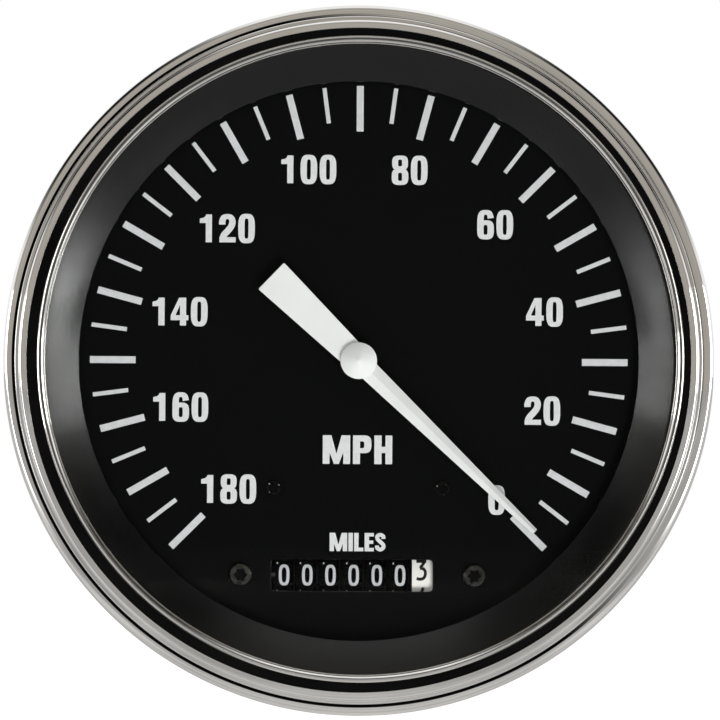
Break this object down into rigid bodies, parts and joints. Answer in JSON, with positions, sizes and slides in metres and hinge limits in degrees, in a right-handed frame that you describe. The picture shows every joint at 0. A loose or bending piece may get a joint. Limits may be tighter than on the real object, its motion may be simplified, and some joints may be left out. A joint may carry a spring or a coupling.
{
  "type": "vintage speedometer",
  "caption": "Round dashboard speedometer with a chrome bezel, black reverse-sweep dial, white needle and drum odometer, driven by a cable through worm gears.",
  "frame": {"origin": "on the needle's axis at the front end of the case's barrel, just behind the panel seat", "axes": "-Y out of the dial towards the viewer, +Y through the case to the rear studs, +Z to twelve o'clock, +X to the viewer's right"},
  "size_m": [0.127, 0.0909, 0.127],
  "materials": {
    "chrome": "polished",
    "black_band": "gloss",
    "lens_glass": "clear",
    "gasket_rubber": "matte",
    "black_ring": "satin",
    "case_enamel": "satin",
    "zinc_steel": "bright zinc",
    "brass": "bright",
    "lamp_plastic": "satin",
    "bulb_glass": "clear",
    "dial_black": "matte",
    "dial_white": "satin",
    "frame_alloy": "satin",
    "magnet_steel": "dull",
    "drum_black": "satin",
    "drum_white": "satin"
  },
  "bodies": {
    "housing": {"bezel": "chrome", "bezel_inlay": "black_band", "lens": "lens_glass", "lens_gasket": "gasket_rubber", "trim_ring": "black_ring", "case": "case_enamel", "mounting_studs": "zinc_steel", "cable_nipple": "brass", "frame_screws": "zinc_steel", "lamp_holders": "lamp_plastic", "lamp_terminals": "brass", "lamp_bulbs": "bulb_glass", "dial": "dial_black", "dial_graduations": "dial_white", "dial_screws": "dial_black", "odometer_screws": "dial_black", "dial_posts": "zinc_steel", "base_plate": "frame_alloy", "pillars": "zinc_steel", "front_plate": "frame_alloy", "plate_screws": "zinc_steel", "bridge": "brass", "bridge_pillars": "zinc_steel", "bridge_screws": "zinc_steel", "spindle_bush": "brass", "rear_drive_bush": "brass", "front_drive_bush": "brass", "field_ring": "magnet_steel", "hairspring_stud": "brass", "odometer_frame": "frame_alloy", "odometer_axle": "zinc_steel", "pinion_axle": "zinc_steel"},
    "pointer": {"needle": "dial_white", "needle_hub": "dial_white", "spindle": "zinc_steel", "speed_cup": "frame_alloy", "hairspring_collet": "brass", "hairspring": "magnet_steel"},
    "drive": {"drive_shaft": "zinc_steel", "magnet": "magnet_steel"},
    "cross": {"cross_shaft": "zinc_steel", "first_worm_wheel": "brass"},
    "lay": {"lay_shaft": "zinc_steel", "second_worm_wheel": "brass", "lay_gear": "brass"},
    "tenths": {"tenths_drum": "drum_white", "odometer_gear": "drum_white"},
    "units": {"units_drum": "drum_black"},
    "tens": {"tens_drum": "drum_black"},
    "hundreds": {"hundreds_drum": "drum_black"},
    "thousands": {"thousands_drum": "drum_black"},
    "ten_thousands": {"ten_thousands_drum": "drum_black"},
    "hundred_thousands": {"hundred_thousands_drum": "drum_black"},
    "carry_1": {"carry_pinion_1": "drum_white"},
    "carry_2": {"carry_pinion_2": "drum_white"},
    "carry_3": {"carry_pinion_3": "drum_white"},
    "carry_4": {"carry_pinion_4": "drum_white"},
    "carry_5": {"carry_pinion_5": "drum_white"},
    "carry_6": {"carry_pinion_6": "drum_white"}
  },
  "joints": [
    {"name": "drive_spin", "type": "hinge", "parent": "housing", "child": "drive", "pos_m": [0, 0.04, 0], "axis": [0, -1, 0], "continuous": true},
    {"name": "needle_sweep", "type": "hinge", "parent": "housing", "child": "pointer", "pos_m": [0, 0.002, 0], "axis": [0, -1, 0], "range_deg": [0, 268.8], "stiffness_Nm_per_rad": 0.00015, "springref_deg": -17.19, "deforming": ["hairspring"]},
    {"name": "cross_spin", "type": "hinge", "parent": "housing", "child": "cross", "pos_m": [0.013, 0.0372, 0], "axis": [0, 0, -1], "continuous": true},
    {"name": "lay_spin", "type": "hinge", "parent": "housing", "child": "lay", "pos_m": [0.013, 0.0288, -0.0385], "axis": [1, 0, 0], "continuous": true},
    {"name": "tenths_spin", "type": "hinge", "parent": "housing", "child": "tenths", "pos_m": [0, 0.0138, -0.0385], "axis": [-1, 0, 0], "continuous": true},
    {"name": "units_spin", "type": "hinge", "parent": "housing", "child": "units", "pos_m": [0, 0.0138, -0.0385], "axis": [-1, 0, 0], "continuous": true},
    {"name": "tens_spin", "type": "hinge", "parent": "housing", "child": "tens", "pos_m": [0, 0.0138, -0.0385], "axis": [-1, 0, 0], "continuous": true},
    {"name": "hundreds_spin", "type": "hinge", "parent": "housing", "child": "hundreds", "pos_m": [0, 0.0138, -0.0385], "axis": [-1, 0, 0], "continuous": true},
    {"name": "thousands_spin", "type": "hinge", "parent": "housing", "child": "thousands", "pos_m": [0, 0.0138, -0.0385], "axis": [-1, 0, 0], "continuous": true},
    {"name": "ten_thousands_spin", "type": "hinge", "parent": "housing", "child": "ten_thousands", "pos_m": [0, 0.0138, -0.0385], "axis": [-1, 0, 0], "continuous": true},
    {"name": "hundred_thousands_spin", "type": "hinge", "parent": "housing", "child": "hundred_thousands", "pos_m": [0, 0.0138, -0.0385], "axis": [-1, 0, 0], "continuous": true},
    {"name": "carry_1_spin", "type": "hinge", "parent": "housing", "child": "carry_1", "pos_m": [0, 0.01715, -0.04771], "axis": [1, 0, 0], "continuous": true},
    {"name": "carry_2_spin", "type": "hinge", "parent": "housing", "child": "carry_2", "pos_m": [0, 0.01715, -0.04771], "axis": [1, 0, 0], "continuous": true},
    {"name": "carry_3_spin", "type": "hinge", "parent": "housing", "child": "carry_3", "pos_m": [0, 0.01715, -0.04771], "axis": [1, 0, 0], "continuous": true},
    {"name": "carry_4_spin", "type": "hinge", "parent": "housing", "child": "carry_4", "pos_m": [0, 0.01715, -0.04771], "axis": [1, 0, 0], "continuous": true},
    {"name": "carry_5_spin", "type": "hinge", "parent": "housing", "child": "carry_5", "pos_m": [0, 0.01715, -0.04771], "axis": [1, 0, 0], "continuous": true},
    {"name": "carry_6_spin", "type": "hinge", "parent": "housing", "child": "carry_6", "pos_m": [0, 0.01715, -0.04771], "axis": [1, 0, 0], "continuous": true}
  ],
  "couplings": [
    {"joint": "cross_spin", "follows": "drive_spin", "ratio": 0.025},
    {"joint": "lay_spin", "follows": "drive_spin", "ratio": 0.001},
    {"joint": "tenths_spin", "follows": "drive_spin", "ratio": 0.001},
    {"joint": "units_spin", "follows": "drive_spin", "ratio": 0.0001},
    {"joint": "tens_spin", "follows": "drive_spin", "ratio": 0.00001},
    {"joint": "hundreds_spin", "follows": "drive_spin", "ratio": 0.000001},
    {"joint": "thousands_spin", "follows": "drive_spin", "ratio": 0.0000001},
    {"joint": "ten_thousands_spin", "follows": "drive_spin", "ratio": 0.00000001},
    {"joint": "hundred_thousands_spin", "follows": "drive_spin", "ratio": 0.000000001},
    {"joint": "carry_1_spin", "follows": "drive_spin", "ratio": 0.00025},
    {"joint": "carry_2_spin", "follows": "drive_spin", "ratio": 0.000025},
    {"joint": "carry_3_spin", "follows": "drive_spin", "ratio": 0.0000025},
    {"joint": "carry_4_spin", "follows": "drive_spin", "ratio": 0.00000025},
    {"joint": "carry_5_spin", "follows": "drive_spin", "ratio": 0.000000025},
    {"joint": "carry_6_spin", "follows": "drive_spin", "ratio": 0.0000000025}
  ]
}
